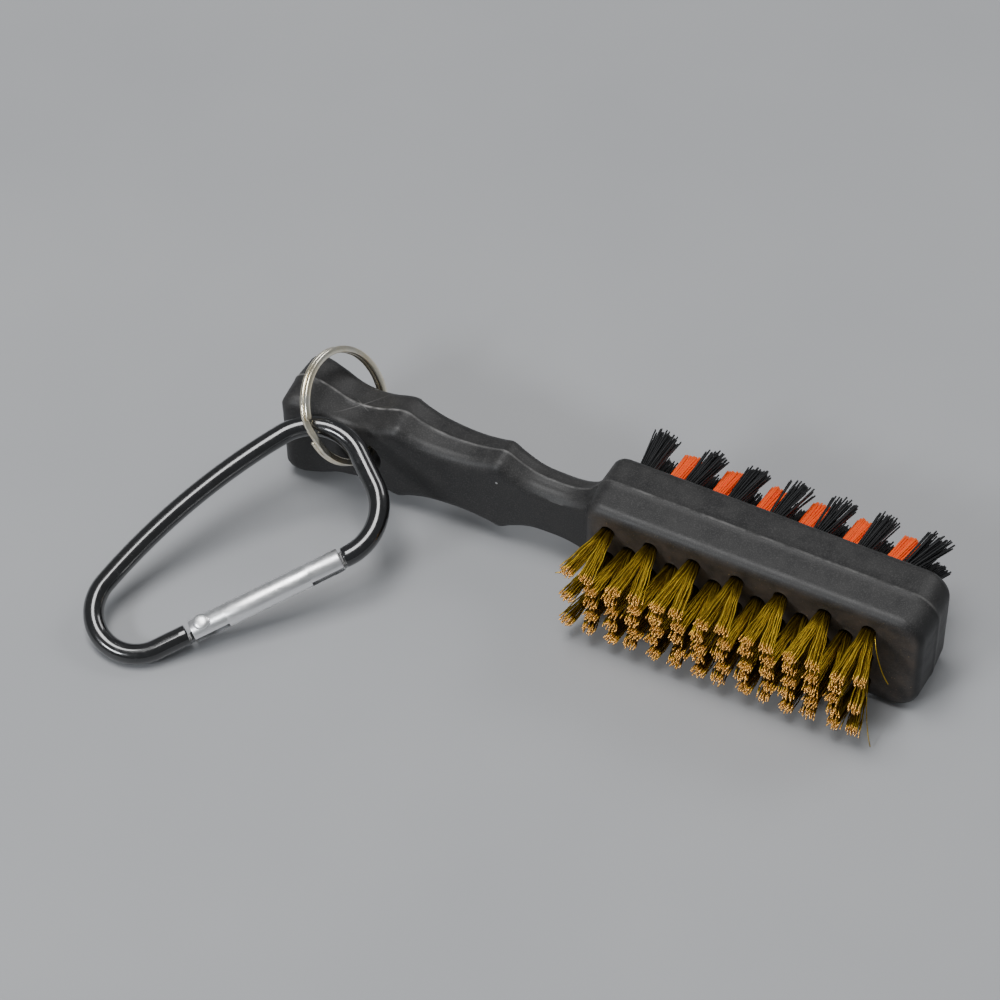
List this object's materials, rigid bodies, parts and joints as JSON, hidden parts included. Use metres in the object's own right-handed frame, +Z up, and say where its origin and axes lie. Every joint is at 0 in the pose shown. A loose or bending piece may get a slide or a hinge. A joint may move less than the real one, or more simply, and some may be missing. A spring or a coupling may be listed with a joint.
{
  "type": "club groove brush",
  "caption": "Double-sided golf club groove brush with brass and nylon tufts, finger-grip handle, split ring and snap-gate carabiner.",
  "frame": {"origin": "middle of the flat long side of the head that the brush lies on, at table height", "axes": "+X from the handle to the free end of the head, -Y out of the brass face, +Y out of the nylon face, +Z up"},
  "size_m": [0.1455, 0.0789, 0.0299],
  "materials": {
    "moulded_plastic": "moulded charcoal plastic, fine grain",
    "brass_wire": "crimped brass wire, slightly tarnished",
    "black_nylon": "black nylon filament",
    "orange_nylon": "orange nylon filament",
    "anchor_metal": "flat stamped anchor strip",
    "nickel_wire": "bright nickel-plated spring steel",
    "black_anodised": "glossy black anodised aluminium",
    "bright_aluminium": "bright drawn aluminium",
    "spring_steel": "plain spring steel"
  },
  "bodies": {
    "brush": {"brush_body": "moulded_plastic", "brass_tufts_row_1": "brass_wire", "brass_tufts_row_2": "brass_wire", "brass_tufts_row_3": "brass_wire", "brass_tufts_row_4": "brass_wire", "brass_tufts_row_5": "brass_wire", "brass_anchors": "anchor_metal", "nylon_tufts_row_1": "black_nylon", "nylon_tufts_row_2": "orange_nylon", "nylon_tufts_row_3": "black_nylon", "nylon_tufts_row_4": "orange_nylon", "nylon_tufts_row_5": "black_nylon", "nylon_anchors": "anchor_metal"},
    "ring": {"split_ring": "nickel_wire"},
    "carabiner": {"carabiner_frame": "black_anodised", "gate_rivet": "bright_aluminium"},
    "gate": {"gate_tube": "bright_aluminium", "gate_spring": "spring_steel"},
    "plunger": {"gate_plunger": "spring_steel"}
  },
  "joints": [
    {"name": "ring_swing", "type": "hinge", "parent": "brush", "child": "ring", "pos_m": [-0.08, 0, 0.0123], "axis": [0, 1, 0], "range_deg": [-12, 75]},
    {"name": "carabiner_swing", "type": "hinge", "parent": "ring", "child": "carabiner", "pos_m": [-0.08544, -0.01249, 0.02101], "axis": [0.5268, -0.111, -0.8427], "range_deg": [-12, 25]},
    {"name": "gate_open", "type": "hinge", "parent": "carabiner", "child": "gate", "pos_m": [-0.08968, -0.04881, 0.00507], "axis": [0.0738, -0.3685, 0.9267], "range_deg": [0, 28], "stiffness_Nm_per_rad": 0.004, "springref_deg": -20.05},
    {"name": "plunger_slide", "type": "slide", "parent": "gate", "child": "plunger", "axis": [0.6422, 0.7285, 0.2385], "range_m": [0, 0.0003], "deforming": ["gate_spring"]}
  ],
  "couplings": [
    {"joint": "plunger_slide", "follows": "gate_open", "m_per_rad": 0.00053}
  ]
}
